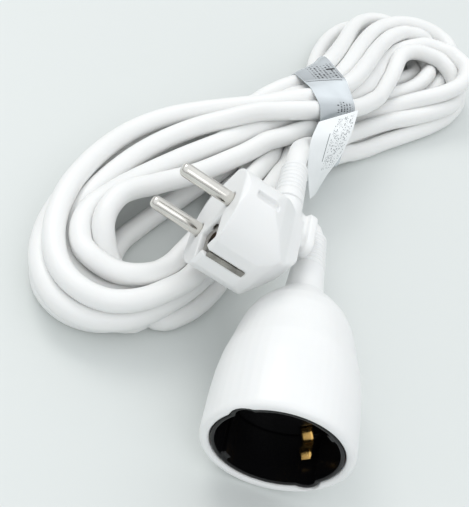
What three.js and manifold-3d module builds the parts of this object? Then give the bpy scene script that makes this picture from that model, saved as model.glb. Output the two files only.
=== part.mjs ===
// An earthed mains extension lead, folded into a tied hank and laid on a table.
// Millimetres, +Z up, table at Z = 0. The socket's axis lies along Y, with its mouth towards -Y.
// The origin is under the middle of the box round the plug and the socket.
import * as THREE from "three";
import { mergeVertices } from "three/addons/utils/BufferGeometryUtils.js";
import Module from "manifold-3d";

const wasm = await Module();
wasm.setup();

const DEG = Math.PI / 180;
const GAP = 0.3; // left between pieces that touch
const FINE = 48; // sides of the large round pieces
const COARSE = 16; // sides of the small ones

// Places
const PLUG_AT = [-21.05, 9.05, 46.5]; // middle of the plug's face, between the pins
const PLUG_TILT = 19; // degrees that the pins point up from level
const SOCKET_AT = [18.35, -55.35, 24]; // middle of the socket's mouth
const CONTACT_LINE = 47; // degrees from level to the line through the two contact holes
const HANK_AT = [-63.45, -12.55, 0];
const HANK_HEADING = 54.55; // degrees from X to the hank's length
const BAND_AT = [10.65, 118.95, 0];
const BAND_HEADING = 28;
const FLAG_HEADING = 14;

// Cord
const CORD_R = 4.1;
const CORD_SIDES = 10;

// Plug
const PIN_R = 2.4;
const PIN_LENGTH = 19;
const PIN_PITCH = 19;
const PIN_BACK = -15;
const FACE_R = 18.3;
const FLAT_Y = 17; // the two flats that carry the earth strips
const FACE_WALL = 3;
const BRIDGE_R = 13.2;
const BRIDGE_BACK = -14.4;
const EARTH_HOLE_Y = -10;
const EARTH_HOLE_R = 2.5;
const STRIP_HALF = 1.1;
const STRIP_LENGTH = 15.5;
const STEM_R = 5.8;
const STEM_Z = -26; // the cord leaves the plug along Y at this depth behind the face
const STEM_END = 26;
const BOOT_BORE_R = 4.45;
const PLUG_BOOT_LENGTH = 20;

// Socket
const SHELL_LENGTH = 62;
const INSERT_R = 20.5;
const WELL_R = 19.1;
const INSERT_FRONT = 0.8;
const FLOOR_FRONT = 18.3;
const FLOOR_BACK = 21.3;
const LOBE_AT = 17.3; // the rounded notches behind the two earth clips
const LOBE_R = 5;
const CUP_R = 17.2;
const CUP_BACK = 40;
const CONTACT_HOLE_R = 3;
const LEAF_FRONT = 22.5;
const LEAF_ROOT = 33.6;
const LEAF_GAP = 2.15; // from the pin's axis to each leaf
const CLIP_HALF = 2.2;
const CLIP_THICK = 0.7;
const CLIP_ROOT_Z = 15;
const SOCKET_BOOT_LENGTH = 30;

// Hank, in its own frame: X along its length, Y across it
const HANK_HEIGHT = 24;
const WAIST = { from: 118.5, to: 184, low: 2.5, high: 34, height: 36.5 };
const HANK_OUTLINE = [
  [-8, 8], [-8, -6], [3, -21], [22, -27.5], [48, -24], [84, -13.5], [118, 0], [150, 2.5],
  [187, -6], [222, -9], [255, -4], [276, 12], [284, 32], [275, 60], [253, 77], [228, 72],
  [196, 58], [166, 38], [140, 36], [112, 46], [84, 51], [60, 48], [30, 38], [6, 22],
];

// Label
const BAND = { width: 20, halfAcross: 20.5, low: 0.35, high: 37.6, corner: 9, thick: 0.5 };
const FLAG_TOP = 24;
const FLAG = { width: 15, thick: 0.5, from: [22.75, 99.55] };
const FLAG_LINE = [[0, FLAG_TOP], [-1.5, 17], [-5.5, 10], [-12, 4.6], [-20, 1.4]];

// The cord's uncoiled stretches, from inside each housing to the side of the hank.
const PLUG_TAIL = [
  [3.53, 20.8, 38.03], [3.53, 36, 38.03], [3.53, 55.5, 38.03], [3.6, 62, 37.2],
  [4.15, 68, 35.4], [4.95, 74, 32.9], [5.85, 79.6, 30.2],
];
const SOCKET_TAIL = [
  [18.35, -5.8, 24], [18.35, 8, 24], [18.35, 24, 24], [18.35, 37.6, 24], [16.95, 42.5, 22.6],
  [13.25, 48, 18.9], [9.25, 53, 15], [6.25, 58, 12], [5.15, 62, 10.8],
];

const LOOKS = {
  pvc: { color: 0xf1f1ef, roughness: 0.42, metalness: 0 },
  cord: { color: 0xf3f3f2, roughness: 0.48, metalness: 0 },
  core: { color: 0xd9d6cc, roughness: 0.6, metalness: 0 },
  insert: { color: 0x141416, roughness: 0.25, metalness: 0 },
  nickel: { color: 0xcfccc6, roughness: 0.18, metalness: 1 },
  brass: { color: 0xc79a45, roughness: 0.3, metalness: 1 },
  paper: { color: 0xf2f3f4, roughness: 0.7, metalness: 0 },
  foil: { color: 0xc4c8cc, roughness: 0.3, metalness: 0.9 },
  brown: { color: 0x6b3f22, roughness: 0.5, metalness: 0 },
  blue: { color: 0x2c5fae, roughness: 0.5, metalness: 0 },
  green: { color: 0x5d9a35, roughness: 0.5, metalness: 0 },
};

// A closed geometry as a solid that can be cut and joined.
function solid(geometry) {
  const bare = geometry.index ? geometry.toNonIndexed() : geometry.clone();
  bare.deleteAttribute("normal");
  bare.deleteAttribute("uv");
  const merged = mergeVertices(bare, 1e-3);
  const vertProperties = merged.attributes.position.array;
  const triVerts = new Uint32Array(merged.index.array);
  return new wasm.Manifold(new wasm.Mesh({ numProp: 3, vertProperties, triVerts }));
}

function geometryOf(manifold) {
  const { vertProperties, triVerts, numProp } = manifold.getMesh();
  const points = new Float32Array((vertProperties.length / numProp) * 3);
  for (let i = 0; i < points.length / 3; i++) {
    for (let k = 0; k < 3; k++) points[3 * i + k] = vertProperties[numProp * i + k];
  }
  const geometry = new THREE.BufferGeometry();
  geometry.setAttribute("position", new THREE.BufferAttribute(points, 3));
  geometry.setIndex(new THREE.BufferAttribute(new Uint32Array(triVerts), 1));
  return geometry;
}

function piece(name, shape, look) {
  const geometry = shape.isBufferGeometry ? shape : geometryOf(shape);
  const mesh = new THREE.Mesh(geometry, new THREE.MeshStandardMaterial(LOOKS[look]));
  mesh.name = name;
  return mesh;
}

function joined(first, ...others) {
  return others.reduce((sum, other) => sum.add(other), first);
}

function without(first, ...others) {
  return others.reduce((left, other) => left.subtract(other), first);
}

function block(low, high) {
  const size = high.map((value, k) => value - low[k]);
  const middle = high.map((value, k) => (value + low[k]) / 2);
  return solid(new THREE.BoxGeometry(...size).translate(...middle));
}

// A round bar along Y, from y0 to y1.
function rodY(radius, y0, y1, x = 0, z = 0, sides = COARSE) {
  const bar = new THREE.CylinderGeometry(radius, radius, y1 - y0, sides);
  return solid(bar.translate(x, (y0 + y1) / 2, z));
}

// A round bar along Z, from z0 to z1.
function rodZ(radius, z0, z1, x = 0, y = 0, sides = COARSE) {
  const bar = new THREE.CylinderGeometry(radius, radius, z1 - z0, sides).rotateX(Math.PI / 2);
  return solid(bar.translate(x, y, (z0 + z1) / 2));
}

function outline(points) {
  return new THREE.Shape(points.map(([a, b]) => new THREE.Vector2(a, b)));
}

// A prism whose section (a, b) lies in the plane of two axes, and which runs along the third.
function prism(shape, axis, from, to) {
  const options = { depth: to - from, bevelEnabled: false, curveSegments: COARSE };
  const geometry = new THREE.ExtrudeGeometry(shape, options).translate(0, 0, from);
  const turns = {
    x: [[0, 1, 0], [0, 0, 1], [1, 0, 0]], // section in (y, z)
    y: [[0, 0, 1], [1, 0, 0], [0, 1, 0]], // section in (z, x)
    z: [[1, 0, 0], [0, 1, 0], [0, 0, 1]], // section in (x, y)
  };
  const columns = turns[axis].map((column) => new THREE.Vector3(...column));
  return solid(geometry.applyMatrix4(new THREE.Matrix4().makeBasis(...columns)));
}

// A body of revolution round Y from a closed [radius, y] profile.
function turned(profile, sides = FINE) {
  const points = profile.map(([radius, y]) => new THREE.Vector2(radius, y));
  const made = solid(new THREE.LatheGeometry([...points, points[0].clone()], sides));
  if (made.volume() > 0) return made;
  return solid(new THREE.LatheGeometry([points[0], ...points.slice().reverse()], sides));
}

function ring(radius, sides) {
  const points = [];
  for (let i = 0; i < sides; i++) {
    const angle = (2 * Math.PI * i) / sides;
    points.push([radius * Math.cos(angle), radius * Math.sin(angle)]);
  }
  return outline(points);
}

function tube(route, radius, sides, steps) {
  const path = new THREE.CatmullRomCurve3(route.map((point) => new THREE.Vector3(...point)));
  const options = { steps, bevelEnabled: false, extrudePath: path };
  return new THREE.ExtrudeGeometry(ring(radius, sides), options);
}

// A band of even thickness that follows a line of [a, b] points, as a closed outline.
function ribbonOutline(line, thick, steps = 14) {
  const curve = new THREE.SplineCurve(line.map(([a, b]) => new THREE.Vector2(a, b)));
  const left = [];
  const right = [];
  for (let i = 0; i <= steps; i++) {
    const point = curve.getPoint(i / steps);
    const along = curve.getTangent(i / steps);
    const side = new THREE.Vector2(-along.y, along.x).multiplyScalar(thick / 2);
    left.push(point.clone().add(side));
    right.unshift(point.clone().sub(side));
  }
  return new THREE.Shape([...left, ...right]);
}

// A tapered, ribbed sleeve round the cord, from y0 along +Y.
function ribbedBoot(y0, length, baseR, tipR, ribs) {
  const profile = [[BOOT_BORE_R, y0], [baseR, y0]];
  const pitch = length / (ribs + 1);
  for (let i = 1; i <= ribs; i++) {
    const y = y0 + i * pitch;
    const radius = baseR + ((tipR - baseR) * i) / ribs;
    profile.push([radius, y - 0.3 * pitch], [radius - 0.45, y - 0.15 * pitch]);
    profile.push([radius - 0.45, y + 0.15 * pitch], [radius, y + 0.3 * pitch]);
  }
  profile.push([tipR, y0 + length], [BOOT_BORE_R, y0 + length]);
  return turned(profile, 24);
}

// Plug, in its own frame: X along the pin line, Y the way the cord leaves, Z out along the pins

function plugBody() {
  const flatAngle = Math.asin(FLAT_Y / FACE_R);
  const front = new THREE.Shape();
  front.absarc(0, 0, FACE_R, -flatAngle, flatAngle, false);
  front.absarc(0, 0, FACE_R, Math.PI - flatAngle, Math.PI + flatAngle, false);
  const width = [[0, 16.8], [-1.5, FACE_R], [-12, FACE_R], [-17, 16], [-21, 12.4], [-25, 8.4], [-31.5, 5.4]];
  const widthBack = width.map(([z, x]) => [z, -x]).reverse();
  const side = [
    [-15.8, 0], [-FLAT_Y, -1.2], [-FLAT_Y, -16.5], [-15, -21], [-10.5, -25.5], [-5.5, -30],
    [-3, -31.5], [20, -31.5], [20, -19], [FLAT_Y, -16], [FLAT_Y, -1.2], [15.8, 0],
  ];
  let body = prism(front, "z", -40, 0);
  body = body.intersect(prism(outline([...width, ...widthBack]), "y", -30, 30));
  body = body.intersect(prism(outline(side), "x", -30, 30));
  const stemLength = STEM_END + 2;
  const capsule = new THREE.CapsuleGeometry(STEM_R, stemLength, 4, 20).translate(0, stemLength / 2 - 1, STEM_Z);
  const stem = without(solid(capsule), block([-9, STEM_END, STEM_Z - 9], [9, STEM_END + 12, STEM_Z + 9]));
  const web = block([-1.8, 9, -35.5], [1.8, 25, -29]);
  const flange = new THREE.Shape();
  flange.absarc(0, 11.5, 4, Math.PI, 2 * Math.PI, false);
  flange.absarc(0, 23, 4, 0, Math.PI, false);
  body = joined(body, stem, web, prism(flange, "z", -38, -34.6));
  const wiring = outline([
    [-14.3, -12.3], [-14.3, 12.3], [-19.5, 11.6], [-27.5, 4.4], [-27.5, -4.4], [-19.5, -11.6],
  ]);
  const pocketY = EARTH_HOLE_Y - 3;
  body = without(
    body,
    rodZ(BRIDGE_R + GAP, BRIDGE_BACK - GAP, -FACE_WALL, 0, 0, 32),
    prism(wiring, "y", -3, 12),
    block([-3, pocketY, -21], [3, -2, BRIDGE_BACK]),
    rodY(CORD_R + GAP, 8, STEM_END + 1, 0, STEM_Z),
    block([-6, -15, -FACE_WALL - 0.1], [6, -4.6, 1]),
    block([-STRIP_HALF - GAP, -19, -3], [STRIP_HALF + GAP, 19, -1.4]),
  );
  for (const end of [-1, 1]) {
    const near = FLAT_Y - 0.8;
    const low = end < 0 ? -FLAT_Y - 2 : near;
    const high = end < 0 ? -near : FLAT_Y + 2;
    const slot = block([-STRIP_HALF - GAP, low, -STRIP_LENGTH - GAP], [STRIP_HALF + GAP, high, 1]);
    const guide = block([end * 17.6 - 1.3, -1.6, -14], [end * 17.6 + 1.3, 1.6, -5]);
    body = without(body, slot, guide, rodZ(PIN_R + GAP, -5, 1, (end * PIN_PITCH) / 2));
  }
  return piece("plug_body", body, "pvc");
}

function pinBridge() {
  let bridge = rodZ(BRIDGE_R, BRIDGE_BACK, -FACE_WALL - GAP, 0, 0, 32);
  for (const end of [-1, 1]) {
    bridge = without(bridge, rodZ(PIN_R + GAP, -20, 1, (end * PIN_PITCH) / 2));
  }
  bridge = without(bridge, rodZ(EARTH_HOLE_R + 1.1, -20, 1, 0, EARTH_HOLE_Y));
  return piece("pin_bridge", bridge, "core");
}

function pin(name, x) {
  const profile = [
    [0, PIN_BACK], [PIN_R, PIN_BACK], [PIN_R, PIN_LENGTH - 2], [PIN_R - 0.35, PIN_LENGTH - 1],
    [PIN_R - 1, PIN_LENGTH - 0.25], [PIN_R - 1.7, PIN_LENGTH], [0, PIN_LENGTH],
  ];
  const points = profile.map(([radius, y]) => new THREE.Vector2(radius, y));
  const geometry = new THREE.LatheGeometry(points, 24).rotateX(Math.PI / 2);
  return piece(name, geometry.translate(x, 0, 0), "nickel");
}

function earthStrap() {
  const plateBack = -2.7;
  const plateFront = -1.7;
  const out = FLAT_Y + 0.15;
  let strap = block([-5, -14.4, plateBack], [5, -5.2, plateFront]);
  strap = joined(strap, block([-STRIP_HALF, -out, plateBack], [STRIP_HALF, out, plateFront]));
  for (const end of [-1, 1]) {
    const y0 = end < 0 ? -out : FLAT_Y - 0.45;
    const y1 = end < 0 ? -FLAT_Y + 0.45 : out;
    strap = joined(strap, block([-STRIP_HALF, y0, -STRIP_LENGTH], [STRIP_HALF, y1, plateFront]));
  }
  strap = without(strap, rodZ(EARTH_HOLE_R, -5, 1, 0, EARTH_HOLE_Y));
  return piece("earth_strap", strap, "nickel");
}

function earthSleeve() {
  const outer = rodZ(EARTH_HOLE_R + 0.7, -12, -3.1, 0, EARTH_HOLE_Y, 20);
  const bore = rodZ(EARTH_HOLE_R, -10.5, 1, 0, EARTH_HOLE_Y, 20);
  const slit = block([-0.4, EARTH_HOLE_Y, -10], [0.4, EARTH_HOLE_Y + 5, 0]);
  return piece("earth_sleeve", without(outer, bore, slit), "brass");
}

function plugGroup() {
  const group = new THREE.Group();
  const half = PIN_PITCH / 2;
  const crimpEnd = -18.6;
  const meet = 13;
  group.add(plugBody(), pinBridge(), earthStrap(), earthSleeve());
  group.add(pin("pin_live", half), pin("pin_neutral", -half));
  group.add(piece("plug_crimp_live", rodZ(1.7, crimpEnd, PIN_BACK - GAP, half), "brass"));
  group.add(piece("plug_crimp_neutral", rodZ(1.7, crimpEnd, PIN_BACK - GAP, -half), "brass"));
  group.add(piece("plug_crimp_earth", rodZ(1.7, -16.4, -12.3, 0, EARTH_HOLE_Y), "brass"));
  const wires = {
    plug_wire_live: ["brown", [[half, 0, -19.4], [8.6, 1.6, -21.2], [4, 7, -24.4], [2, meet - 3, -26]]],
    plug_wire_neutral: ["blue", [[-half, 0, -19.4], [-8.6, 1.6, -21.2], [-4, 7, -24.4], [-2, meet - 3, -26]]],
    plug_wire_earth: ["green", [[0, EARTH_HOLE_Y, -17.7], [0, -7.5, -18.3], [0, -1, -19.8], [0, meet - 3, -24]]],
  };
  for (const [name, [look, route]] of Object.entries(wires)) {
    group.add(piece(name, tube(route, 0.95, 8, 8), look));
  }
  const boot = ribbedBoot(STEM_END + GAP, PLUG_BOOT_LENGTH, 5.7, 5.1, 7).translate([0, 0, STEM_Z]);
  group.add(piece("plug_boot", boot, "pvc"));
  group.position.set(...PLUG_AT);
  group.rotation.y = -(90 - PLUG_TILT) * DEG;
  return group;
}

// Socket, in its own frame: Y into the socket from its mouth, X along the contact line

function socketShell() {
  const profile = [
    [INSERT_R + GAP, 0.6], [21.6, 0], [22.6, 0], [23.5, 0.6], [24, 2], [24, 14], [23.7, 22],
    [22.7, 30], [21.2, 36], [19.4, 41], [17.1, 46], [14.3, 51], [11.2, 56], [9, 60], [8.4, SHELL_LENGTH],
    [BOOT_BORE_R, SHELL_LENGTH], [BOOT_BORE_R, 50], [7, 47.5], [12.8, 43],
    [CUP_R + GAP, CUP_BACK], [CUP_R + GAP, FLOOR_BACK + GAP], [INSERT_R + GAP, FLOOR_BACK + GAP],
  ];
  let shell = turned(profile);
  for (const end of [-1, 1]) {
    shell = without(shell, rodY(LOBE_R + GAP, -1, FLOOR_BACK + GAP, 0, end * LOBE_AT, 24));
  }
  return piece("socket_shell", shell, "pvc");
}

// The ring that lines the well, with a rounded notch behind each earth clip.
function socketInsert() {
  let insert = rodY(INSERT_R, INSERT_FRONT, FLOOR_BACK, 0, 0, FINE);
  for (const end of [-1, 1]) {
    insert = joined(insert, rodY(LOBE_R, INSERT_FRONT, FLOOR_BACK, 0, end * LOBE_AT, 24));
  }
  insert = without(insert, rodY(WELL_R, -1, FLOOR_BACK + 1, 0, 0, FINE));
  for (const end of [-1, 1]) {
    const rib = block([end * 18.4 - 1, INSERT_FRONT + 0.8, -1.8], [end * 18.4 + 1, FLOOR_FRONT - GAP, 1.8]);
    insert = joined(insert, rib);
    insert = without(insert, rodY(LOBE_R - 1.4, -1, FLOOR_FRONT, 0, end * LOBE_AT, 24));
  }
  return piece("socket_insert", insert, "insert");
}

// The well's floor, with the two contact holes and the slots that the earth clips come through.
function insertFloor() {
  let floor = rodY(WELL_R - GAP, FLOOR_FRONT, FLOOR_BACK, 0, 0, FINE);
  for (const end of [-1, 1]) {
    const slotZ = end * (CLIP_ROOT_Z + 0.05);
    floor = without(
      floor,
      rodY(CONTACT_HOLE_R, 10, FLOOR_BACK + 1, (end * PIN_PITCH) / 2, 0, 24),
      block([-CLIP_HALF - 0.4, 17, slotZ - 0.95], [CLIP_HALF + 0.4, FLOOR_BACK + 0.5, slotZ + 0.95]),
    );
  }
  return piece("insert_floor", floor, "insert");
}

// The cup that closes the contacts in from behind.
function insertCover() {
  const back = 38.9;
  let cover = without(
    rodY(CUP_R, FLOOR_BACK + GAP, back, 0, 0, FINE),
    rodY(CUP_R - 1, FLOOR_BACK, back - 2, 0, 0, FINE),
  );
  for (const x of [-PIN_PITCH / 2, 0, PIN_PITCH / 2]) {
    cover = without(cover, rodY(2.2, 30, 45, x));
  }
  return piece("insert_cover", cover, "insert");
}

// One contact: its root block, two leaves that the pin spreads, its crimp and its wire.
function contact(name, x, look) {
  const parts = [piece(`${name}_contact`, rodY(3, LEAF_ROOT + GAP, 36.4, x), "brass")];
  for (const [letter, end] of [["a", 1], ["b", -1]]) {
    const z0 = end * LEAF_GAP;
    const z1 = end * (LEAF_GAP + 0.6);
    const leaf = block([x - 2, LEAF_FRONT, Math.min(z0, z1)], [x + 2, LEAF_ROOT, Math.max(z0, z1)]);
    parts.push(piece(`${name}_leaf_${letter}`, leaf, "brass"));
  }
  parts.push(piece(`socket_crimp_${name}`, rodY(1.7, 36.7, 41.2, x), "brass"));
  const inward = Math.sign(x);
  const route = [[x, 41.9, 0], [x - inward * 1.5, 43.2, 0], [inward * 3.6, 46.6, 0], [inward * 2, 48.3, 0]];
  parts.push(piece(`socket_wire_${name}`, tube(route, 0.95, 8, 8), look));
  return parts;
}

function earthClip(name, end) {
  const line = [[CLIP_ROOT_Z, 24], [CLIP_ROOT_Z, 20.5], [CLIP_ROOT_Z + 0.2, 17.4], [CLIP_ROOT_Z + 2.1, 14.4],
    [CLIP_ROOT_Z + 1.3, 11], [CLIP_ROOT_Z + 2.5, 8.2]];
  const mirrored = line.map(([z, y]) => [end * z, y]);
  const section = ribbonOutline(end < 0 ? mirrored : mirrored.slice().reverse(), CLIP_THICK);
  const turn = new THREE.Matrix4().makeBasis(
    new THREE.Vector3(0, 0, 1),
    new THREE.Vector3(0, 1, 0),
    new THREE.Vector3(-1, 0, 0),
  );
  const options = { depth: 2 * CLIP_HALF, bevelEnabled: false };
  const geometry = new THREE.ExtrudeGeometry(section, options).applyMatrix4(turn);
  return piece(name, geometry.translate(CLIP_HALF, 0, 0), "brass");
}

function socketGroup() {
  const group = new THREE.Group();
  const half = PIN_PITCH / 2;
  group.add(socketShell(), socketInsert(), insertFloor(), insertCover());
  group.add(...contact("live", half, "brown"), ...contact("neutral", -half, "blue"));
  group.add(earthClip("earth_clip_upper", 1), earthClip("earth_clip_lower", -1));
  group.add(piece("earth_bridge", block([-2.2, 22.6, -13.8], [2.2, 24.2, 13.8]), "brass"));
  group.add(piece("socket_crimp_earth", rodY(1.7, 24.5, 30), "brass"));
  const route = [[0, 30.3, 0], [0, 36, 0], [0, 42, 0], [0, 48.3, 0]];
  group.add(piece("socket_wire_earth", tube(route, 0.95, 8, 6), "green"));
  const boot = ribbedBoot(SHELL_LENGTH + GAP, SOCKET_BOOT_LENGTH, 7.2, 5.2, 9);
  group.add(piece("socket_boot", boot, "pvc"));
  group.position.set(...SOCKET_AT);
  group.rotation.y = -CONTACT_LINE * DEG;
  return group;
}

// Label: a band round the hank's waist, and its free end

function bandSection(grow) {
  const across = BAND.halfAcross + grow;
  const low = BAND.low - grow;
  const high = BAND.high + grow;
  const corner = BAND.corner + grow;
  const shape = new THREE.Shape();
  shape.absarc(across - corner, low + corner, corner, -Math.PI / 2, 0, false);
  shape.absarc(across - corner, high - corner, corner, 0, Math.PI / 2, false);
  shape.absarc(corner - across, high - corner, corner, Math.PI / 2, Math.PI, false);
  shape.absarc(corner - across, low + corner, corner, Math.PI, 1.5 * Math.PI, false);
  return shape;
}

function bandRing(grow) {
  const half = BAND.width / 2 + grow;
  const outer = prism(bandSection(grow), "x", -half, half);
  return without(outer, prism(bandSection(-BAND.thick - grow), "x", -half - 1, half + 1));
}

function labelBand() {
  const band = piece("label_band", bandRing(0), "foil");
  band.position.set(...BAND_AT);
  band.rotation.z = BAND_HEADING * DEG;
  return band;
}

function labelFlag() {
  const half = FLAG.width / 2;
  const section = ribbonOutline(FLAG_LINE.slice().reverse(), FLAG.thick);
  const flag = piece("label_flag", prism(section, "x", -half, half), "paper");
  flag.position.set(FLAG.from[0], FLAG.from[1], 0);
  flag.rotation.z = FLAG_HEADING * DEG;
  return flag;
}

// Cord

function hank() {
  const points = HANK_OUTLINE.map(([x, y]) => new THREE.Vector3(x, y, 0));
  const loop = new THREE.CatmullRomCurve3(points, true).getSpacedPoints(96).slice(0, -1);
  const shape = new THREE.Shape(loop.map(({ x, y }) => new THREE.Vector2(x, y)));
  const lobes = prism(shape, "z", 0, HANK_HEIGHT);
  const waist = block([WAIST.from, WAIST.low, 1], [WAIST.to, WAIST.high, WAIST.height]);
  const place = new THREE.Matrix4().makeRotationZ(HANK_HEADING * DEG).setPosition(...HANK_AT);
  const placed = solid(geometryOf(joined(lobes, waist)).applyMatrix4(place));
  const bandPlace = new THREE.Matrix4().makeRotationZ(BAND_HEADING * DEG).setPosition(...BAND_AT);
  const groove = solid(geometryOf(bandRing(GAP)).applyMatrix4(bandPlace));
  return piece("cord_hank", without(placed, groove), "cord");
}

const root = new THREE.Group();
root.add(plugGroup(), socketGroup(), labelBand(), labelFlag(), hank());
root.add(piece("cord_plug_tail", tube(PLUG_TAIL, CORD_R, CORD_SIDES, 8), "cord"));
root.add(piece("cord_socket_tail", tube(SOCKET_TAIL, CORD_R, CORD_SIDES, 10), "cord"));

export default root;
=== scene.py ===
"""An earthed extension lead: a tied hank of white cord, its plug and its bell-shaped socket.

Metres, in the frame of the CAD model; the helper mm() takes millimetres. The table is Z = 0.
"""
import math

import bmesh
import bpy
import numpy as np
from mathutils import Matrix, Vector


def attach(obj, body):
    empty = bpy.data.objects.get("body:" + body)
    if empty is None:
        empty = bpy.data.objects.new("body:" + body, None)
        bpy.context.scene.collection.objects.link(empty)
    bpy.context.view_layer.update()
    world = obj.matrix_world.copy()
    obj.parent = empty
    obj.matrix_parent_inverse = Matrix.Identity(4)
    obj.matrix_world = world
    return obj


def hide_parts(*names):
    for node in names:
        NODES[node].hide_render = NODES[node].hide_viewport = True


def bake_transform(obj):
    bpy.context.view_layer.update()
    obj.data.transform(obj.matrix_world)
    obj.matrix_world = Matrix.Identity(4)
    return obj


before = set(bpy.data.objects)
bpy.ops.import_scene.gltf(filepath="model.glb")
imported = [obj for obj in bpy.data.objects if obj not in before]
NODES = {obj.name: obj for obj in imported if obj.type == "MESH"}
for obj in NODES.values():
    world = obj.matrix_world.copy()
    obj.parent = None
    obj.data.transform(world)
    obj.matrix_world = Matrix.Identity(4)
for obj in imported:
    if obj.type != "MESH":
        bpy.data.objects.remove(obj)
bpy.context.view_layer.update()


def mm(*values):
    return tuple(value / 1000 for value in values)


# ---------------------------------------------------------------- camera

CAMERA_AT = mm(-29.15, -180.75, 230.4)
CAMERA_HEADING = math.radians(5.8)  # from +Y towards +X
CAMERA_DOWN = math.radians(46.1)
CAMERA_ROLL = math.radians(23.0)
FOCAL_PX = 800.0
LONG_SIDE_PX = 507.0


def add_camera():
    forward = Vector((
        math.sin(CAMERA_HEADING) * math.cos(CAMERA_DOWN),
        math.cos(CAMERA_HEADING) * math.cos(CAMERA_DOWN),
        -math.sin(CAMERA_DOWN),
    ))
    level = Vector((math.cos(CAMERA_HEADING), -math.sin(CAMERA_HEADING), 0))
    upright = level.cross(forward)
    right = level * math.cos(CAMERA_ROLL) + upright * math.sin(CAMERA_ROLL)
    up = upright * math.cos(CAMERA_ROLL) - level * math.sin(CAMERA_ROLL)
    data = bpy.data.cameras.new("camera")
    data.sensor_width = 36.0
    data.lens = FOCAL_PX / LONG_SIDE_PX * data.sensor_width
    data.clip_start, data.clip_end = 0.01, 20.0
    camera = bpy.data.objects.new("camera", data)
    bpy.context.scene.collection.objects.link(camera)
    axes = Matrix((right, up, -forward)).transposed().to_4x4()
    camera.matrix_world = Matrix.Translation(CAMERA_AT) @ axes
    bpy.context.scene.camera = camera


add_camera()


# ---------------------------------------------------------------- materials

def material(name, base, rough, metal=0.0, bump=0.0, bump_scale=600.0, mottle=0.03, patch=60.0,
             rough_spread=0.06, coat=0.0, scatter=0.0, specular=0.5):
    """A moulded or rolled surface: faint colour patches, uneven gloss and fine bumps."""
    made = bpy.data.materials.new(name)
    made.use_nodes = True
    tree = made.node_tree
    shader = tree.nodes["Principled BSDF"]
    shader.inputs["Metallic"].default_value = metal
    shader.inputs["Coat Weight"].default_value = coat
    shader.inputs["Specular IOR Level"].default_value = specular
    if scatter:
        shader.inputs["Subsurface Weight"].default_value = scatter
        shader.inputs["Subsurface Radius"].default_value = (0.004, 0.0035, 0.003)
        shader.inputs["Subsurface Scale"].default_value = 0.6
    place = tree.nodes.new("ShaderNodeTexCoord").outputs["Object"]
    patches = noise_node(tree, place, patch, 3)
    ramp = tree.nodes.new("ShaderNodeValToRGB")
    ramp.color_ramp.elements[0].position = 0.3
    ramp.color_ramp.elements[1].position = 0.7
    ramp.color_ramp.elements[0].color = (*[c * (1 - mottle) for c in base], 1)
    ramp.color_ramp.elements[1].color = (*[min(1, c * (1 + mottle)) for c in base], 1)
    tree.links.new(patches, ramp.inputs[0])
    tree.links.new(ramp.outputs[0], shader.inputs["Base Color"])
    spread = tree.nodes.new("ShaderNodeMapRange")
    spread.inputs["To Min"].default_value = max(0.02, rough - rough_spread)
    spread.inputs["To Max"].default_value = rough + rough_spread
    tree.links.new(noise_node(tree, place, patch * 2.3, 2), spread.inputs["Value"])
    tree.links.new(spread.outputs[0], shader.inputs["Roughness"])
    if bump:
        bumps = tree.nodes.new("ShaderNodeBump")
        bumps.inputs["Strength"].default_value = bump
        bumps.inputs["Distance"].default_value = 0.0002
        tree.links.new(noise_node(tree, place, bump_scale, 4), bumps.inputs["Height"])
        tree.links.new(bumps.outputs[0], shader.inputs["Normal"])
    return made


def noise_node(tree, place, scale, detail):
    node = tree.nodes.new("ShaderNodeTexNoise")
    node.inputs["Scale"].default_value = scale
    node.inputs["Detail"].default_value = detail
    tree.links.new(place, node.inputs["Vector"])
    return node.outputs[0]


LOOKS = {
    "pvc": material("moulded_pvc", (0.86, 0.865, 0.86), 0.36, bump=0.12, bump_scale=1400,
                    mottle=0.012, patch=45, scatter=0.08, coat=0.08),
    "cord_sheath": material("cord_sheath", (0.87, 0.872, 0.862), 0.4, bump=0.16, bump_scale=900,
                            mottle=0.018, patch=35, scatter=0.1),
    "core": material("off_white_core", (0.62, 0.6, 0.53), 0.55, bump=0.2),
    "insert": material("black_insert", (0.004, 0.004, 0.0045), 0.22, bump=0.1, bump_scale=900,
                       mottle=0.2, rough_spread=0.05, specular=0.3),
    "steel": material("earth_steel", (0.34, 0.325, 0.3), 0.3, metal=1.0, bump=0.25, bump_scale=1200,
                      mottle=0.25, patch=260, rough_spread=0.08),
    "nickel": material("nickel_plate", (0.72, 0.7, 0.66), 0.14, metal=1.0, bump=0.1,
                       bump_scale=1800, mottle=0.06, patch=150, rough_spread=0.05),
    "brass": material("rolled_brass", (0.8, 0.5, 0.16), 0.24, metal=1.0, bump=0.2,
                      bump_scale=1500, mottle=0.12, patch=220, rough_spread=0.09),
    "brown": material("brown_core", (0.13, 0.05, 0.02), 0.45, bump=0.1),
    "blue": material("blue_core", (0.02, 0.1, 0.42), 0.45, bump=0.1),
    "green": material("green_core", (0.12, 0.33, 0.03), 0.45, bump=0.1),
}


# ---------------------------------------------------------------- mesh helpers

def piece(name, verts, faces, look, body="lead", smooth=40.0):
    """A mesh piece from millimetre points, smooth except at edges sharper than the given angle."""
    mesh = bpy.data.meshes.new(name)
    mesh.from_pydata([mm(*v) for v in verts], [], faces)
    made = bpy.data.objects.new(name, mesh)
    bpy.context.scene.collection.objects.link(made)
    finish_mesh(made, smooth)
    wear(made, look)
    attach(made, body)
    return made


def finish_mesh(made, smooth=40.0):
    tidy = bmesh.new()
    tidy.from_mesh(made.data)
    bmesh.ops.remove_doubles(tidy, verts=tidy.verts, dist=1e-6)
    bmesh.ops.recalc_face_normals(tidy, faces=tidy.faces)
    tidy.to_mesh(made.data)
    tidy.free()
    smooth_all(made)
    made.data.set_sharp_from_angle(angle=math.radians(smooth))


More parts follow.
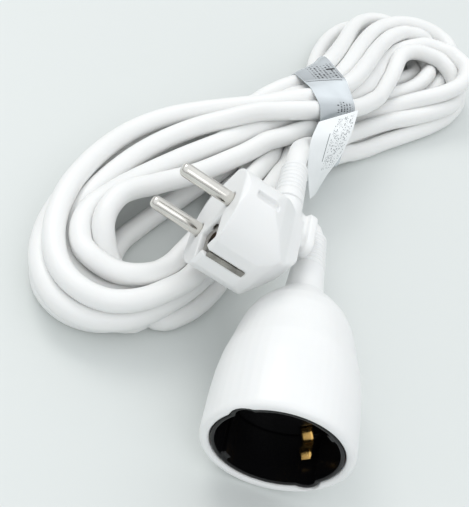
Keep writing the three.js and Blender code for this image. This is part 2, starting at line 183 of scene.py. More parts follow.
def wear(made, look):
    made.data.materials.clear()
    made.data.materials.append(LOOKS[look])


def smooth_all(made):
    made.data.polygons.foreach_set("use_smooth", [True] * len(made.data.polygons))


def lathe(profile, sides):
    """Points and faces of a closed [radius, y] profile turned round Y."""
    verts, faces = [], []
    count = len(profile)
    for i in range(sides):
        angle = 2 * math.pi * i / sides
        verts += [(r * math.cos(angle), y, r * math.sin(angle)) for r, y in profile]
    for i in range(sides):
        a, b = i * count, ((i + 1) % sides) * count
        for k in range(count):
            n = (k + 1) % count
            faces.append((a + k, a + n, b + n, b + k))
    return verts, faces


def box_mesh(low, high):
    corners = [(x, y, z) for x in (low[0], high[0]) for y in (low[1], high[1]) for z in (low[2], high[2])]
    faces = [(0, 1, 3, 2), (4, 6, 7, 5), (0, 4, 5, 1), (2, 3, 7, 6), (0, 2, 6, 4), (1, 5, 7, 3)]
    return corners, faces


def moved(verts, place):
    return [tuple(place @ Vector(v)) for v in verts]


PLUG_AT = Vector((-21.05, 9.05, 46.5))
PLUG_PLACE = Matrix.Translation(PLUG_AT) @ Matrix.Rotation(math.radians(-71), 4, "Y")
SOCKET_AT = Vector((18.35, -55.35, 24))
SOCKET_PLACE = Matrix.Translation(SOCKET_AT) @ Matrix.Rotation(math.radians(-47), 4, "Y")
ROUNDER_PASSES = 45


def softened(name, node, look, voxel, rounds, shape=None, rounder=None, cut=None):
    """A copy of a CAD node with moulded edges: remeshed evenly, then smoothed. It replaces the node.
    shape moves a point and cut is taken away before that, and rounder tells where, from 0 to 1, the
    edges are smoothed further."""
    made = bpy.data.objects.new(name, NODES[node].data.copy())
    if shape:
        for vertex in made.data.vertices:
            vertex.co = shape(vertex.co)
    bpy.context.scene.collection.objects.link(made)
    made.data.materials.clear()
    if cut:
        opening = made.modifiers.new("cut", "BOOLEAN")
        opening.operation = "DIFFERENCE"
        opening.object = cut
        opening.solver = "EXACT"
        bake_modifiers(made)
        bpy.data.objects.remove(cut)
    remesh = made.modifiers.new("remesh", "REMESH")
    remesh.mode = "VOXEL"
    remesh.voxel_size = voxel / 1000
    remesh.adaptivity = 0.0
    smooth = made.modifiers.new("smooth", "SMOOTH")
    smooth.factor = 0.5
    smooth.iterations = rounds
    bake_modifiers(made)
    if rounder:
        group = made.vertex_groups.new(name="rounder")
        for vertex in made.data.vertices:
            group.add([vertex.index], rounder(vertex.co), "REPLACE")
        more = made.modifiers.new("rounder", "SMOOTH")
        more.factor = 0.5
        more.iterations = ROUNDER_PASSES
        more.vertex_group = "rounder"
        bake_modifiers(made)
    smooth_all(made)
    wear(made, look)
    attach(made, "lead")
    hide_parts(node)


def bake_modifiers(made):
    evaluated = made.evaluated_get(bpy.context.evaluated_depsgraph_get())
    mesh = bpy.data.meshes.new_from_object(evaluated)
    made.modifiers.clear()
    made.data = mesh


# ---------------------------------------------------------------- cord
# The hank is planned pass by pass in its own frame: s along it, t across it and z up, in millimetres.
# Every planned point carries a weight that says how firmly the settled cord stays near it.

CORD_R = 4.1
HANK_AT = np.array([-63.45, -12.55])
HANK_HEADING = math.radians(54.55)
ALONG = np.array([math.cos(HANK_HEADING), math.sin(HANK_HEADING)])
ACROSS = np.array([-ALONG[1], ALONG[0]])
BAND_AT = np.array([10.65, 118.95])
BAND_HEADING = math.radians(28)
BAND_ALONG = np.array([math.cos(BAND_HEADING), math.sin(BAND_HEADING)])
BAND_ACROSS = np.array([-BAND_ALONG[1], BAND_ALONG[0]])

# The label's band runs askew over the strands: they slant across it, and fan out to its right.
BAND_HALF = 10.0
BAND_SLANT = 0.45
BUNDLE_HALF = 15.6
BUNDLE_FAN = 0.3
BUNDLE_TOP = 37.0

PLUG_TAIL = [
    (3.53, 50, 38.03), (3.53, 55.5, 38.03), (3.6, 62, 37.2),
    (4.15, 68, 35.4), (4.95, 74, 32.9), (5.85, 79.6, 30.2),
]
SOCKET_TAIL = [
    (18.35, 31, 24), (18.35, 37.6, 24), (16.95, 42.5, 22.6), (13.25, 48, 18.9),
    (9.25, 53, 15), (6.25, 58, 12), (5.15, 62, 10.8),
]

FIRM, SOFT, LOOSE = 0.10, 0.03, 0.012  # how strongly a point is drawn to its planned place
STEP = 5.0
LEAST_BEND = 20.0
ROUNDS = 420
CALM_FROM = 0.6  # share of the rounds after which the line is only nudged into place


def to_table(points):
    points = np.asarray(points, float)
    flat = HANK_AT + points[:, :1] * ALONG + points[:, 1:2] * ACROSS
    return np.column_stack([flat, points[:, 2]])


def to_hank(points):
    points = np.asarray(points, float)
    flat = points[:, :2] - HANK_AT
    return np.column_stack([flat @ ALONG, flat @ ACROSS, points[:, 2]])


# The outermost left fold: each point's s and t, and its share of an inner fold's shift across.
LEFT_NEAR = [(96, -5, .35), (72, -13, .7), (50, -19, 1), (35.5, -22.9, 1), (21, -23.3, 1), (8, -19.5, 1)]
LEFT_FAR = [(8, 13.5, .5), (18, 23, .7), (30, 31.5, .85), (45, 38, 1), (71, 45.4, 1), (93, 45.4, 1)]
LEFT_NEAR_T, LEFT_FAR_T = -22.9, 45.4


def left_fold(far, far_z, near, near_z, shift, end_z):
    """A fold at the hank's left end, from its near side to its far side."""
    spread_far, spread_near = LEFT_FAR_T - far, near - LEFT_NEAR_T
    points = []
    for s, t, share in LEFT_NEAR:
        slide = 1 if s < 10 else .6 if s < 30 else .3 if s < 45 else 0
        points.append((s + shift * slide, t + spread_near * share, near_z, FIRM))
    points.append((shift, -11 + .75 * spread_near, (near_z + end_z) / 2, FIRM))
    points.append((shift, -2 + .4 * spread_near - .25 * spread_far, end_z, FIRM))
    for s, t, share in LEFT_FAR:
        slide = max(0.0, 1 - (s - 8) / 40)
        z = end_z + (far_z - end_z) * min(1, s / 30)
        points.append((s + shift * slide, t - spread_far * share, z, FIRM))
    return points


def right_fold(near, near_z, end, end_z, far, far_z, weight=FIRM):
    """A fold at the hank's right end, from its near side to its far side."""
    points = [(s, t, near_z, LOOSE) for s, t in zip((196, 219, 241), near)]
    points += [(s, t, end_z, SOFT) for s, t in end]
    return points + [(s, t, z, weight) for s, t, z in zip((241, 223, 205), far[::-1], far_z[::-1])]


COLUMNS = [4.0, 12.3, 20.6, 28.9]
ROWS = [5.2, 13.6, 22.0, 30.4]
WAIST_S, WAIST_T = 150.0, 16.0  # the bundle's middle under the band


def waist(column, row, way, fan=0.0):
    """One pass through the label's band, in the given place of a four by four bundle; way is 1 or -1.
    A pass that fans out to the right already turns that way as it leaves the band."""
    t = COLUMNS[column]
    points = []
    for x, turn in [(-12, 0), (0, 1), (12, 9)]:
        points.append((WAIST_S + 1.12 * x + 0.5 * (t - WAIST_T), t + fan * turn, ROWS[row], SOFT))
    return points[::way]


def planned_route():
    """The whole cord, from the plug through fifteen folds to the socket."""
    route = [(*p, FIRM) for p in to_hank(PLUG_TAIL)]
    route += waist(0, 1, 1)
    route += [(s, t, z, FIRM) for s, t, z in [
        (188, 3.5, 12.6), (213, 2.4, 12.4), (230, 1.5, 12.4), (246, 1, 12.6), (256, 9, 13.4), (257, 20, 14.4),
        (246, 26, 15.4), (231, 21, 16), (213, 17, 18), (195, 15, 21),
    ]]
    route += waist(0, 3, -1, .1) + left_fold(34.5, 20, -16, 8.5, 7, 12)[::-1]
    route += waist(1, 0, 1)
    route += right_fold(
        (6, 4, 3), 4.2, [(253, 2), (265, 8), (270, 21), (265, 34), (254, 40)], 12,
        (29.7, 34.5, 39), (24, 21, 18.5))
    route += waist(1, 3, -1, .25) + left_fold(45.4, 20, -22.9, 15.5, 0, 17)[::-1]
    route += waist(2, 1, 1)
    route += right_fold(
        (13, 12.5, 12.5), 4.2, [(256, 14), (269, 21), (274, 34), (268, 47), (257, 53)], 14,
        (36.8, 44, 50), (25, 22, 20))
    route += waist(2, 3, -1, .35) + left_fold(47, 12, -22, 7, -3.5, 9.6)[::-1]
    route += waist(2, 0, 1)
    route += right_fold(
        (10, 8, 5), 12.4, [(253, 4), (263, 9), (267, 20), (261, 30), (251, 32)], 14,
        (22.8, 26.3, 29.5), (19, 18, 17))
    route += waist(1, 2, -1, .15) + left_fold(24, 19.5, -12, 14.5, 9, 16)[::-1]
    route += waist(2, 2, 1)
    route += right_fold(
        (18, 17, 15), 12.4, [(252, 15), (263, 21), (267, 33), (261, 44), (250, 47)], 10,
        (31, 36, 43), (12, 11, 10), LOOSE)
    route += waist(0, 2, -1, .2) + left_fold(12.5, 18.5, -14, 6, 15, 12)[::-1]
    route += waist(3, 0, 1)
    route += right_fold(
        (21, 21.5, 22), 4.2, [(257, 24), (271, 31), (277, 45), (271, 59), (258, 65)], 9,
        (46, 54, 61), (23, 19, 15))
    route += waist(3, 3, -1, .45) + left_fold(43, 4.1, -17, 4.1, -4, 4.1)[::-1]
    route += waist(3, 2, 1)
    route += right_fold(
        (26, 25, 24), 12.4, [(253, 25), (265, 31), (269, 42), (263, 54), (252, 57)], 7,
        (40, 47, 54), (9, 7, 5), LOOSE)
    route += waist(1, 1, -1, .2) + left_fold(14, 5, -18, 4.2, 13, 4.2)[::-1]
    route += waist(3, 1, 1, .4)
    route += [(s, t, z, FIRM) for s, t, z in [
        (184, 48, 10), (204, 58.5, 8), (223, 65, 7.5), (242, 70.5, 6.5), (258, 70, 5), (271, 58, 4.2),
        (277, 41, 4.1), (277, 25, 4.1), (266, 10, 4.1), (246, -1.5, 4.1), (219, -4.6, 4.1), (187, -1.3, 4.3),
    ]]
    route += waist(0, 0, -1)
    return np.array(route + [(*p, FIRM) for p in to_hank(SOCKET_TAIL)[::-1]])


def lengths(points):
    return np.linalg.norm(np.diff(points[:, :3], axis=0), axis=1)


def resampled(points, step):
    """The same line with points at even steps; any further columns are carried along."""
    run = np.r_[0, np.cumsum(lengths(points))]
    at = np.linspace(0, run[-1], int(round(run[-1] / step)) + 1)
    return np.column_stack([np.interp(at, run, points[:, k]) for k in range(points.shape[1])])


def splined(points, per):
    """A centripetal Catmull-Rom line through the points, with per points from each to the next."""
    points = np.array(points, float)
    points = np.vstack([2 * points[0] - points[1], points, 2 * points[-1] - points[-2]])
    line = []
    for i in range(1, len(points) - 2):
        a, b, c, d = points[i - 1:i + 3]
        t = np.cumsum([0] + [np.linalg.norm(step[:3]) ** .5 for step in (b - a, c - b, d - c)])
        u = np.linspace(t[1], t[2], per, endpoint=False)[:, None]
        ab = ((t[1] - u) * a + u * b) / t[1]
        bc = ((t[2] - u) * b + (u - t[1]) * c) / (t[2] - t[1])
        cd = ((t[3] - u) * c + (u - t[2]) * d) / (t[3] - t[2])
        abc = ((t[2] - u) * ab + u * bc) / t[2]
        bcd = ((t[3] - u) * bc + (u - t[1]) * cd) / (t[3] - t[1])
        line.append(((t[2] - u) * abc + (u - t[1]) * bcd) / (t[2] - t[1]))
    return np.vstack(line + [points[-2:-1]])


def settled(plan):
    """Lets the planned line settle: its length and stiffness are kept, it lies on the table and inside
    the band, and it is pushed out of itself."""
    p = plan[:, :3].copy()
    home, pull, count = p.copy(), plan[:, 3:4], len(plan)
    free = np.ones((count, 1))
    free[:5] = free[-5:] = 0
    gap = 2 * CORD_R + 0.05
    first, second = np.triu_indices(count, int(math.ceil(2.6 * gap / STEP)))
    for turn in range(ROUNDS):
        done = turn / ROUNDS
        p += free * pull * (1 - 0.75 * done) * (home - p)
        p[:, 2] -= 0.03 * free[:, 0]
        for _ in range(3):
            keep_lengths(p, free)
            for span in (2, 4, 8):
                keep_bends(p, free, span)
        for reach in (1, 2, 4):
            fair(p, free, reach, 0.35 if done < CALM_FROM else 0.1)
        if turn % 3 == 0:
            between = p[first] - p[second]
            close = (between * between).sum(1) < (gap + 5) ** 2
            near, other = first[close], second[close]
        for _ in range(2 if done < CALM_FROM else 4):
            keep_apart(p, free, near, other, gap)
        p[:, 2] = np.maximum(p[:, 2], CORD_R + 0.02)
        keep_in_band(p, free)
    return p


def fair(p, free, reach, share):
    """Moves each point towards the smooth curve through its neighbours, which keeps an even bend."""
    n = len(p) - 4 * reach
    one, two, four, five = p[:n], p[reach:n + reach], p[3 * reach:n + 3 * reach], p[4 * reach:]
    middle = (4 * (two + four) - one - five) / 6
    target = p[2 * reach:n + 2 * reach]
    target += share * free[2 * reach:n + 2 * reach] * (middle - target)


def keep_lengths(p, free):
    for start in (0, 1):
        a = np.arange(start, len(p) - 1, 2)
        between = p[a + 1] - p[a]
        length = np.linalg.norm(between, axis=1, keepdims=True)
        shift = 0.5 * (length - STEP) / length * between
        p[a] += shift * free[a]
        p[a + 1] -= shift * free[a + 1]


def keep_bends(p, free, span):
    """Chords of some segments are no shorter than on a circle of the least bend radius."""
    least = 2 * LEAST_BEND * math.sin(min(span * STEP / 2 / LEAST_BEND, math.pi / 2))
    between = p[span:] - p[:-span]
    length = np.linalg.norm(between, axis=1, keepdims=True)
    shift = 0.3 * np.minimum(length - least, 0) / np.maximum(length, 1e-6) * between
    total = np.zeros_like(p)
    total[:-span] += shift
    total[span:] -= shift
    p += total * free


def keep_apart(p, free, near, other, gap):
    between = p[near] - p[other]
    length = np.linalg.norm(between, axis=1)
    hit = length < gap
    a, b, between, length = near[hit], other[hit], between[hit], np.maximum(length[hit], 1e-3)
    shift = (0.4 * (gap - length) / length)[:, None] * between
    total, hits = np.zeros_like(p), np.ones(len(p))
    np.add.at(total, a, shift)
    np.add.at(total, b, -shift)
    np.add.at(hits, a, 0.35)
    np.add.at(hits, b, 0.35)
    p += total / hits[:, None] * free


def keep_in_band(p, free):
    """Inside the label's band, the line keeps to a rounded box."""
    flat = p[:, :2] - BAND_AT
    x = flat @ BAND_ALONG
    y = flat @ BAND_ACROSS - BAND_SLANT * x
    low, high, corner = 0.95 + CORD_R, BUNDLE_TOP - CORD_R, 8.5 - CORD_R
    half = BUNDLE_HALF + BUNDLE_FAN * np.maximum(x, 0)
    y_core = np.clip(y, corner - half, half - corner)
    z_core = np.clip(p[:, 2], low + corner, high - corner)
    dy, dz = y - y_core, p[:, 2] - z_core
    reach = np.hypot(dy, dz)
    out = (np.abs(x) < BAND_HALF) & (np.abs(y) < 40) & (free[:, 0] > 0) & (reach > corner)
    share = np.where(out, corner / np.maximum(reach, 1e-6), 1)
    p[:, :2] += ((y_core + dy * share - y) * out)[:, None] * BAND_ACROSS
    p[:, 2] = np.where(out, z_core + dz * share, p[:, 2])


def cord_line():
    plan = splined(planned_route(), 12)
    plan = resampled(np.column_stack([to_table(plan[:, :3]), plan[:, 3]]), STEP)
    return settled(plan)


LINE = cord_line()
CENTRELINE = resampled(splined(LINE, 4), 2.5)


def add_cord():
    data = bpy.data.curves.new("cord", "CURVE")
    data.dimensions = "3D"
    spline = data.splines.new("POLY")
    spline.points.add(len(CENTRELINE) - 1)
    for point, place in zip(spline.points, CENTRELINE):
        point.co = (*mm(*place), 1)
    spline.use_smooth = True
    data.bevel_depth = CORD_R / 1000
    data.bevel_resolution = 5
    data.use_fill_caps = True
    made = bpy.data.objects.new("cord", data)
    bpy.context.scene.collection.objects.link(made)
    wear(made, "cord_sheath")
    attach(made, "lead")
    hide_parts("cord_hank", "cord_plug_tail", "cord_socket_tail")
    return made


CORD = add_cord()


# ---------------------------------------------------------------- plug

def behind_face(point):
    """0 on the plug's face and at its recesses, 1 on its back."""
    local = PLUG_PLACE.inverted() @ (point * 1000)
    return min(1.0, max(0.0, (-local.z - 13) / 4))


def strap_groove():
    """The groove that leads the earth strap from its recess over the edge of the face."""
    verts, faces = box_mesh((-1.4, -19, -2.9), (1.4, -14, 1.2))
    mesh = bpy.data.meshes.new("groove")
    mesh.from_pydata([mm(*v) for v in moved(verts, PLUG_PLACE)], [], faces)
    groove = bpy.data.objects.new("groove", mesh)
    bpy.context.scene.collection.objects.link(groove)
    finish_mesh(groove)
    return groove


softened("plug_moulding", "plug_body", "pvc", 0.34, 5, rounder=behind_face, cut=strap_groove())


PIN_R = 2.4
PIN_LENGTH = 19.0
PIN_BACK = -14.9
PIN_TIP_FLAT = 0.9  # radius of the flat on the rounded tip
PIN_TIP = 2.1  # length of the rounded tip


def add_pin(name, node, x):
    """A turned pin with a rounded tip, a fine groove at the plug's face and a chamfered inner end."""
    shoulder = PIN_LENGTH - PIN_TIP
    profile = [
        (0.001, PIN_BACK), (PIN_R - 0.1, PIN_BACK), (PIN_R, PIN_BACK + 0.3), (PIN_R, -0.6),
        (PIN_R - 0.04, -0.2), (PIN_R - 0.04, 0.3), (PIN_R, 0.6), (PIN_R, shoulder),
    ]
    for i in range(1, 9):
        angle = math.radians(90 * i / 8)
        radius = PIN_TIP_FLAT + (PIN_R - PIN_TIP_FLAT) * math.cos(angle)
        profile.append((radius, shoulder + PIN_TIP * math.sin(angle)))
    profile.append((0.001, PIN_LENGTH))
    verts, faces = lathe(profile, 48)
    along = Matrix.Translation((x, 0, 0)) @ Matrix.Rotation(math.radians(90), 4, "X")
    made = piece(name, moved(verts, PLUG_PLACE @ along), faces, "nickel", smooth=50)
    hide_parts(node)


add_pin("live_pin", "pin_live", 9.5)
add_pin("neutral_pin", "pin_neutral", -9.5)


def tapered_boot(name, node, place, start, length, base, tip, ribs, ribbed_from):
    """A strain relief: smooth near its root, finely ribbed towards its tip, bored for the cord."""
    bore = CORD_R + 0.12
    profile = [(bore, start), (base - 0.25, start), (base, start + 0.3)]
    steps = 14
    for i in range(1, steps + 1):
        at = ribbed_from * i / steps
        profile.append((base + (tip - base) * (at / length) ** 0.9, start + at))
    pitch = (length - ribbed_from - 1) / ribs
    for i in range(ribs):
        y = start + ribbed_from + i * pitch
        radius = base + (tip - base) * ((ribbed_from + i * pitch) / length) ** 0.9
        profile += [
            (radius, y + 0.1 * pitch), (radius - 0.2, y + 0.17 * pitch),
            (radius - 0.42, y + 0.25 * pitch), (radius - 0.42, y + 0.55 * pitch),
            (radius - 0.2, y + 0.63 * pitch), (radius - 0.04, y + 0.72 * pitch),
            (radius - 0.02, y + 0.95 * pitch),
        ]
    end = start + length
    profile += [(tip, end - 0.5), (tip - 0.15, end - 0.12), (tip - 0.4, end), (bore, end)]
    verts, faces = lathe(profile, 56)
    made = piece(name, moved(verts, place), faces, "pvc", smooth=60)
    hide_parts(node)


STEM_PLACE = PLUG_PLACE @ Matrix.Translation((0, 0, -26))
tapered_boot("plug_sleeve", "plug_boot", STEM_PLACE, 26.0, 20.3, 5.75, 5.1, 7, 3.5)


# ---------------------------------------------------------------- socket

def full_shoulder(point):
    """The bell's outer wall swells a little where it closes in towards the cord."""
    local = SOCKET_PLACE.inverted() @ (point * 1000)
    radius = math.hypot(local.x, local.z)
    depth = (local.y - 36) / 26
    if radius < 8 or not 0 < depth < 1 or radius < 16.5 - 10 * depth:
        return point
    swell = 1 + 2.6 * math.sin(math.pi * depth ** 1.4) / radius
    return (SOCKET_PLACE @ Vector((local.x * swell, local.y, local.z * swell))) / 1000


softened("socket_bell", "socket_shell", "pvc", 0.46, 9, shape=full_shoulder)
softened("socket_well", "socket_insert", "insert", 0.32, 4)
softened("well_floor", "insert_floor", "insert", 0.3, 3)
tapered_boot("socket_sleeve", "socket_boot", SOCKET_PLACE, 62.0, 30.3, 7.3, 5.2, 7, 13.0)


def add_clip(name, node, end):
    """An earth clip: a brass spring strip bent in an S, with rolled edges."""
    bends = [(15, 24), (15, 20.5), (15.2, 17.4), (17.1, 14.4), (16.3, 11), (17.5, 8.2)]
    line = splined([(*bend, 0) for bend in bends], 8)[:, :2]
    tangent = np.gradient(line, axis=0)
    tangent /= np.linalg.norm(tangent, axis=1, keepdims=True)
    normal = np.column_stack([-tangent[:, 1], tangent[:, 0]])
    section = [(-2.2, -0.1), (-2.0, -0.3), (-1.2, -0.35), (1.2, -0.35), (2.0, -0.3), (2.2, -0.1),
               (2.2, 0.1), (2.0, 0.3), (1.2, 0.35), (-1.2, 0.35), (-2.0, 0.3), (-2.2, 0.1)]
    verts, faces, count = [], [], len(section)
    for i, (at, out) in enumerate(zip(line, normal)):
        narrow = 1 if i < len(line) - 6 else 1 - 0.03 * (i - len(line) + 6) ** 1.3
        for x, depth in section:
            z, y = at + out * depth
            verts.append((x * narrow, y, end * z))
    for i in range(len(line) - 1):
        for k in range(count):
            n = (k + 1) % count
            faces.append((i * count + k, i * count + n, (i + 1) * count + n, (i + 1) * count + k))
    last = (len(line) - 1) * count
    faces += [tuple(range(count))[::-1], tuple(range(last, last + count))]
    made = piece(name, moved(verts, SOCKET_PLACE), faces, "brass", body=node, smooth=45)
    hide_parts(node)


add_clip("upper_clip", "earth_clip_upper", 1)
add_clip("lower_clip", "earth_clip_lower", -1)


# ---------------------------------------------------------------- parts that keep their CAD shape

INNER = {
    "pin_bridge": "core", "earth_strap": "steel", "earth_sleeve": "brass", "plug_crimp_live": "brass",
    "plug_crimp_neutral": "brass", "plug_crimp_earth": "brass", "plug_wire_live": "brown",
    "plug_wire_neutral": "blue", "plug_wire_earth": "green", "insert_cover": "insert",
    "live_contact": "brass",
    "live_leaf_a": "brass", "live_leaf_b": "brass", "socket_crimp_live": "brass", "socket_wire_live": "brown",
    "neutral_contact": "brass", "neutral_leaf_a": "brass", "neutral_leaf_b": "brass",
    "socket_crimp_neutral": "brass", "socket_wire_neutral": "blue", "earth_bridge": "brass",
    "socket_crimp_earth": "brass", "socket_wire_earth": "green",
}
for name, look in INNER.items():
    node = NODES[name]
    wear(node, look)
    bevel = node.modifiers.new("edges", "BEVEL")
    bevel.width = 0.00012
    bevel.segments = 2
    bevel.limit_method = "ANGLE"
    bevel.angle_limit = math.radians(35)


# ---------------------------------------------------------------- label

BAND_SIDES = 120


def hull(points):
    points = sorted(map(tuple, points))
    chain = []
    for way in (points, points[::-1]):
        half = []
        for p in way:
            while len(half) > 1:
                (ax, ay), (bx, by) = half[-2], half[-1]
                if (bx - ax) * (p[1] - ay) - (by - ay) * (p[0] - ax) > 0:
                    break
                half.pop()
            half.append(p)
        chain += half[:-1]
    return np.array(chain)


def band_section(at):
    """The label's taut outline round the strands that cross it at one place along its width."""
    flat = CENTRELINE[:, :2] - BAND_AT
    x, y = flat @ BAND_ALONG, flat @ BAND_ACROSS
    crossing = (np.abs(x - at) < 3) & (np.abs(y) < 30)
    angle = np.linspace(0, 2 * math.pi, 40, endpoint=False)
    rim = np.column_stack([np.cos(angle), np.sin(angle)]) * (CORD_R + 0.35)
    points = (np.column_stack([y, CENTRELINE[:, 2]])[crossing][:, None] + rim[None]).reshape(-1, 2)
    outline = hull(points)
    outline = np.vstack([outline, outline[:1]])
    middle = np.array([0.0, 19.0])
    loop = []
    for turn in np.linspace(-math.pi / 2, 1.5 * math.pi, BAND_SIDES, endpoint=False):
        way = np.array([math.cos(turn), math.sin(turn)])
        a, b = outline[:-1] - middle, outline[1:] - middle
        cross = a[:, 0] * b[:, 1] - a[:, 1] * b[:, 0]
        span = b - a
        away = way[0] * span[:, 1] - way[1] * span[:, 0]
        with np.errstate(divide="ignore", invalid="ignore"):
            reach = cross / away
            share = (a[:, 0] * way[1] - a[:, 1] * way[0]) / away
        good = (reach > 0) & (share >= -1e-6) & (share <= 1 + 1e-6)
        loop.append(middle + way * reach[good].max())
    loop = np.array(loop)
    for _ in range(2):
        loop = 0.25 * np.roll(loop, 1, 0) + 0.5 * loop + 0.25 * np.roll(loop, -1, 0)
    return np.column_stack([loop[:, 0], np.maximum(loop[:, 1], 0.15)])


def printed_look(name, base, metal, rough, rows, length, ink, share, bars):
    """A label: fine dashes in rows (UV: u along the print, v across it) and a few solid bars."""
    made = material(name, base, rough, metal=metal, bump=0.15, bump_scale=300,
                    mottle=0.05, patch=80, coat=0.2)
    tree = made.node_tree
    shader = tree.nodes["Principled BSDF"]
    paint = shader.inputs["Base Color"].links[0].from_socket
    uv = tree.nodes.new("ShaderNodeUVMap")
    split = tree.nodes.new("ShaderNodeSeparateXYZ")
    tree.links.new(uv.outputs[0], split.inputs[0])

    def maths(how, a, b=None):
        node = tree.nodes.new("ShaderNodeMath")
        node.operation = how
        for k, value in enumerate((a, b)):
            if value is None:
                continue
            if isinstance(value, (int, float)):
                node.inputs[k].default_value = value
            else:
                tree.links.new(value, node.inputs[k])
        return node.outputs[0]

    u, v = split.outputs[0], split.outputs[1]
    line = maths("MULTIPLY", v, rows)
    row = maths("FLOOR", line)
    in_row = maths("LESS_THAN", maths("FRACT", line), 0.5)
    join = tree.nodes.new("ShaderNodeCombineXYZ")
    tree.links.new(maths("MULTIPLY", u, length), join.inputs[0])
    tree.links.new(maths("MULTIPLY", row, 7.3), join.inputs[1])
    noise = tree.nodes.new("ShaderNodeTexNoise")
    noise.inputs["Scale"].default_value = 1.0
    noise.inputs["Detail"].default_value = 1.0
    tree.links.new(join.outputs[0], noise.inputs["Vector"])
    dash = maths("MULTIPLY", in_row, maths("GREATER_THAN", noise.outputs[0], share))
    mask = None
    for u0, u1, v0, v1, solid in bars:
        across = maths("MULTIPLY", maths("GREATER_THAN", v, v0), maths("LESS_THAN", v, v1))
        inside = maths("MULTIPLY", maths("GREATER_THAN", u, u0), maths("LESS_THAN", u, u1))
        inside = maths("MULTIPLY", inside, across)
        if not solid:
            inside = maths("MULTIPLY", inside, dash)
        mask = inside if mask is None else maths("MAXIMUM", mask, inside)
    mix = tree.nodes.new("ShaderNodeMix")
    mix.data_type = "RGBA"
    tree.links.new(mask, mix.inputs["Factor"])
    tree.links.new(paint, mix.inputs[6])
    mix.inputs[7].default_value = (*ink, 1)
    tree.links.new(mix.outputs[2], shader.inputs["Base Color"])
    return made


def sheet_piece(name, grid, thick, look, body, node, closed):
    """A thin strip from a grid of points [across][along], with UV over it, given a small thickness.
    It rides the body, or none where it bends between two."""
    rows, columns = len(grid), len(grid[0])
    verts = [tuple(p) for row in grid for p in row]
    faces, uvs = [], []
    last = columns if closed else columns - 1
    for i in range(rows - 1):
        for k in range(last):
            n = (k + 1) % columns
            faces.append((i * columns + k, i * columns + n, (i + 1) * columns + n, (i + 1) * columns + k))
            u0, u1, v0, v1 = k / last, (k + 1) / last, i / (rows - 1), (i + 1) / (rows - 1)
            uvs += [(u0, v0), (u1, v0), (u1, v1), (u0, v1)]
    mesh = bpy.data.meshes.new(name)
    mesh.from_pydata([mm(*v) for v in verts], [], faces)
    layer = mesh.uv_layers.new(name="label")
    for loop, uv in zip(layer.data, uvs):
        loop.uv = uv
    made = bpy.data.objects.new(name, mesh)
    bpy.context.scene.collection.objects.link(made)
    shell = made.modifiers.new("thickness", "SOLIDIFY")
    shell.thickness = thick / 1000
    shell.offset = 0
    bake_modifiers(made)
    smooth_all(made)
    made.data.set_sharp_from_angle(angle=math.radians(50))
    made.data.materials.clear()
    made.data.materials.append(look)
    if body:
        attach(made, body)
    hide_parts(node)
    return made


def paint_foil_highlights(look):
    """Painted highlight and shade on the foil: a ramp round the band scales the printed colour, bright where
    the foil would catch the light and darker where it would not.
    """
    tree = look.node_tree
    shader = tree.nodes["Principled BSDF"]
    printed = shader.inputs["Base Color"].links[0].from_socket
    split = next(node for node in tree.nodes if node.bl_idname == "ShaderNodeSeparateXYZ")
    ramp = tree.nodes.new("ShaderNodeValToRGB")
    # Painted highlight: brightness factors round the band; the bright stretch stands in for the foil's
    # reflection, the darker ones for its shade.
    highlight_tones = [
        (0.0, 0.8), (0.35, 0.78), (0.45, 0.62), (0.475, 1.0),
        (0.565, 1.0), (0.6, 0.66), (0.7, 0.6), (0.8, 0.95),
    ]
    while len(ramp.color_ramp.elements) < len(highlight_tones):
        ramp.color_ramp.elements.new(0.5)
    for element, (at, tone) in zip(ramp.color_ramp.elements, highlight_tones):
        element.position = at
        element.color = (tone * 0.96, tone * 0.985, tone, 1)
    tree.links.new(split.outputs[0], ramp.inputs[0])
    mix = tree.nodes.new("ShaderNodeMix")
    mix.data_type = "RGBA"
    mix.blend_type = "MULTIPLY"
    mix.inputs["Factor"].default_value = 1.0
    tree.links.new(printed, mix.inputs[6])
    tree.links.new(ramp.outputs[0], mix.inputs[7])
    tree.links.new(mix.outputs[2], shader.inputs["Base Color"])


def add_band():
    """The label's wrap, taut round the strands."""
    places = np.linspace(-BAND_HALF, BAND_HALF, 15)
    sections = np.array([band_section(at) for at in places])
    for _ in range(2):
        sections[1:-1] = 0.25 * sections[:-2] + 0.5 * sections[1:-1] + 0.25 * sections[2:]
    grid = []
    for at, section in zip(places, sections):
        flat = BAND_AT + at * BAND_ALONG + section[:, :1] * BAND_ACROSS
        grid.append(np.column_stack([flat, section[:, 1]]))
    look = printed_look("label_foil", (0.8, 0.83, 0.85), 0.45, 0.22, 11, 330, (0.03, 0.035, 0.04), 0.52,
                        [(0.36, 0.455, 0.3, 0.95, False), (0.385, 0.394, 0.72, 0.95, True),
                         (0.466, 0.47, 0.02, 0.9, True), (0.585, 0.65, 0.45, 0.92, False),
                         (0.18, 0.32, 0.1, 0.9, False), (0.76, 0.86, 0.1, 0.9, False)])
    # Painted highlight and shade round the foil, multiplied into its printed colour.
    paint_foil_highlights(look)
    sheet_piece("label_wrap", grid, 0.3, look, "lead", "label_band", True)


def add_flag():
    """The label's free end, from the band's top edge down over the plug's cord."""
    left = [(9.5, 92.5, 35.8), (7.8, 78, 36), (9.6, 70.5, 30), (12.6, 67.1, 24), (15.6, 65.5, 18)]
    right = [(25.5, 110, 36), (24.6, 95.7, 33), (23, 86.7, 27), (20, 79.9, 20), (18.7, 76.5, 12)]
    left, right = splined(left, 10), splined(right, 10)
    grid = [(1 - k) * left + k * right for k in np.linspace(0, 1, 11)]
    look = printed_look("label_paper", (0.86, 0.885, 0.89), 0.0, 0.3, 26, 70, (0.16, 0.18, 0.19), 0.55,
                        [(0.04, 0.62, 0.5, 0.94, False), (0.2, 0.5, 0.42, 0.44, True)])
    return sheet_piece("label_tongue", grid, 0.25, look, None, "label_flag", False)


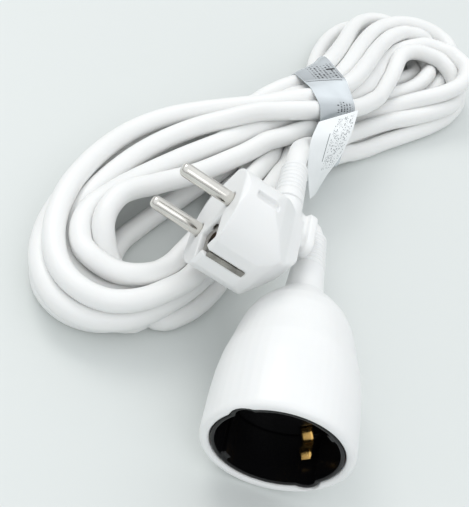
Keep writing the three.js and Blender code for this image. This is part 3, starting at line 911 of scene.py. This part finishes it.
add_band()
FLAG = add_flag()
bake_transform(FLAG)


# ---------------------------------------------------------------- table and light

def add_floor():
    mesh = bpy.data.meshes.new("floor")
    side = 3.0
    corners = [(-side, -side, 0), (side, -side, 0), (side, side, 0), (-side, side, 0)]
    mesh.from_pydata(corners, [], [(0, 1, 2, 3)])
    floor = bpy.data.objects.new("floor", mesh)
    bpy.context.scene.collection.objects.link(floor)
    look = material("pale_table", (0.70, 0.728, 0.715), 0.5, mottle=0.008, patch=3, bump=0.02)
    floor.data.materials.append(look)


def add_light(name, at, towards, size, power, colour):
    data = bpy.data.lights.new(name, "AREA")
    data.shape = "DISK"
    data.size = size
    data.energy = power
    data.color = colour
    light = bpy.data.objects.new(name, data)
    bpy.context.scene.collection.objects.link(light)
    light.location = at
    light.rotation_euler = (Vector(towards) - Vector(at)).to_track_quat("-Z", "Y").to_euler()


def add_world(colour, strength):
    """A room that is bright above and darker towards the table."""
    world = bpy.data.worlds.new("room")
    bpy.context.scene.world = world
    world.use_nodes = True
    tree = world.node_tree
    split = tree.nodes.new("ShaderNodeSeparateXYZ")
    tree.links.new(tree.nodes.new("ShaderNodeTexCoord").outputs["Generated"], split.inputs[0])
    ramp = tree.nodes.new("ShaderNodeValToRGB")
    ramp.color_ramp.elements[0].position = 0.0
    ramp.color_ramp.elements[0].color = (*[c * 0.42 for c in colour], 1)
    ramp.color_ramp.elements[1].position = 0.62
    ramp.color_ramp.elements[1].color = (*colour, 1)
    tree.links.new(split.outputs[2], ramp.inputs[0])
    tree.links.new(ramp.outputs[0], tree.nodes["Background"].inputs[0])
    tree.nodes["Background"].inputs[1].default_value = strength


add_floor()
add_world((0.955, 0.98, 1.0), 1.07)
add_light("window", (-0.75, 0.75, 1.25), (0, 0.05, 0), 0.7, 5.0, (1, 0.985, 0.955))
add_light("front", (0.5, -0.9, 1.1), (0, 0, 0), 0.9, 1.2, (1, 1, 1))
bpy.context.scene.view_settings.view_transform = "Standard"
